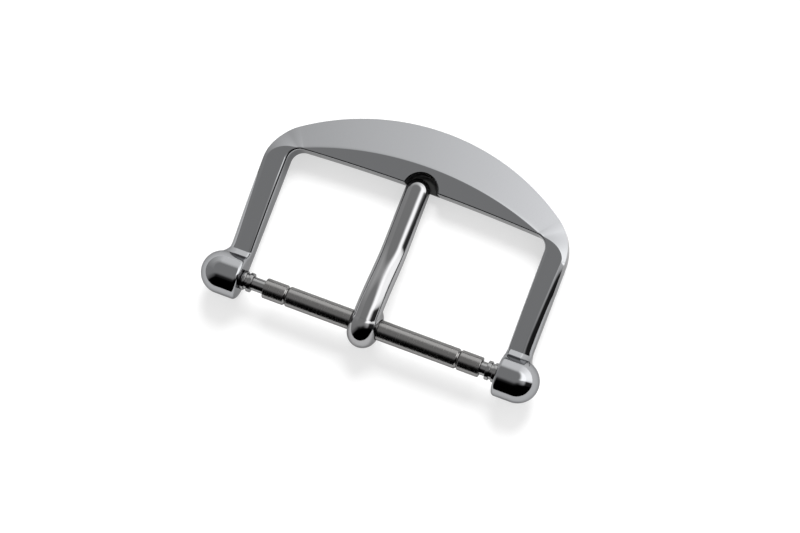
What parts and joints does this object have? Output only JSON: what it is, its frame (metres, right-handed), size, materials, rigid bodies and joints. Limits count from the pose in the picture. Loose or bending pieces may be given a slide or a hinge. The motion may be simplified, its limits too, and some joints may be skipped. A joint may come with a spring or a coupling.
{
  "type": "watch tang buckle",
  "caption": "Polished steel tang buckle for a watch strap: D-shaped frame with ball-ended knuckles, a curved tongue and a telescopic spring bar.",
  "frame": {"origin": "on the spring bar's axis, midway between the two knuckles", "axes": "+X along the spring bar, +Y from the bar to the bridge, +Z out of the flat top of the frame, away from the wrist"},
  "size_m": [0.0242, 0.0157, 0.0032],
  "materials": {
    "frame_steel": "mirror polished stainless steel",
    "tongue_steel": "mirror polished stainless steel",
    "bar_steel": "turned and polished stainless steel",
    "plunger_steel": "turned and polished stainless steel",
    "spring_steel": "drawn stainless spring wire"
  },
  "bodies": {
    "frame": {"buckle_frame": "frame_steel"},
    "tongue": {"tongue": "tongue_steel"},
    "bar": {"bar_tube": "bar_steel", "bar_spring": "spring_steel"},
    "left_plunger": {"left_plunger": "plunger_steel"},
    "right_plunger": {"right_plunger": "plunger_steel"}
  },
  "joints": [
    {"name": "tongue_pivot", "type": "hinge", "parent": "frame", "child": "tongue", "pos_m": [0, 0, 0], "axis": [1, 0, 0], "range_deg": [0, 345]},
    {"name": "bar_spin", "type": "hinge", "parent": "frame", "child": "bar", "pos_m": [0, 0, 0], "axis": [1, 0, 0], "continuous": true},
    {"name": "left_plunger_press", "type": "slide", "parent": "frame", "child": "left_plunger", "axis": [1, 0, 0], "range_m": [0, 0.00085], "stiffness_N_per_m": 400, "springref_m": -0.003, "deforming": ["bar_spring"]},
    {"name": "right_plunger_press", "type": "slide", "parent": "frame", "child": "right_plunger", "axis": [-1, 0, 0], "range_m": [0, 0.0004], "stiffness_N_per_m": 400, "springref_m": -0.003, "deforming": ["bar_spring"]}
  ]
}
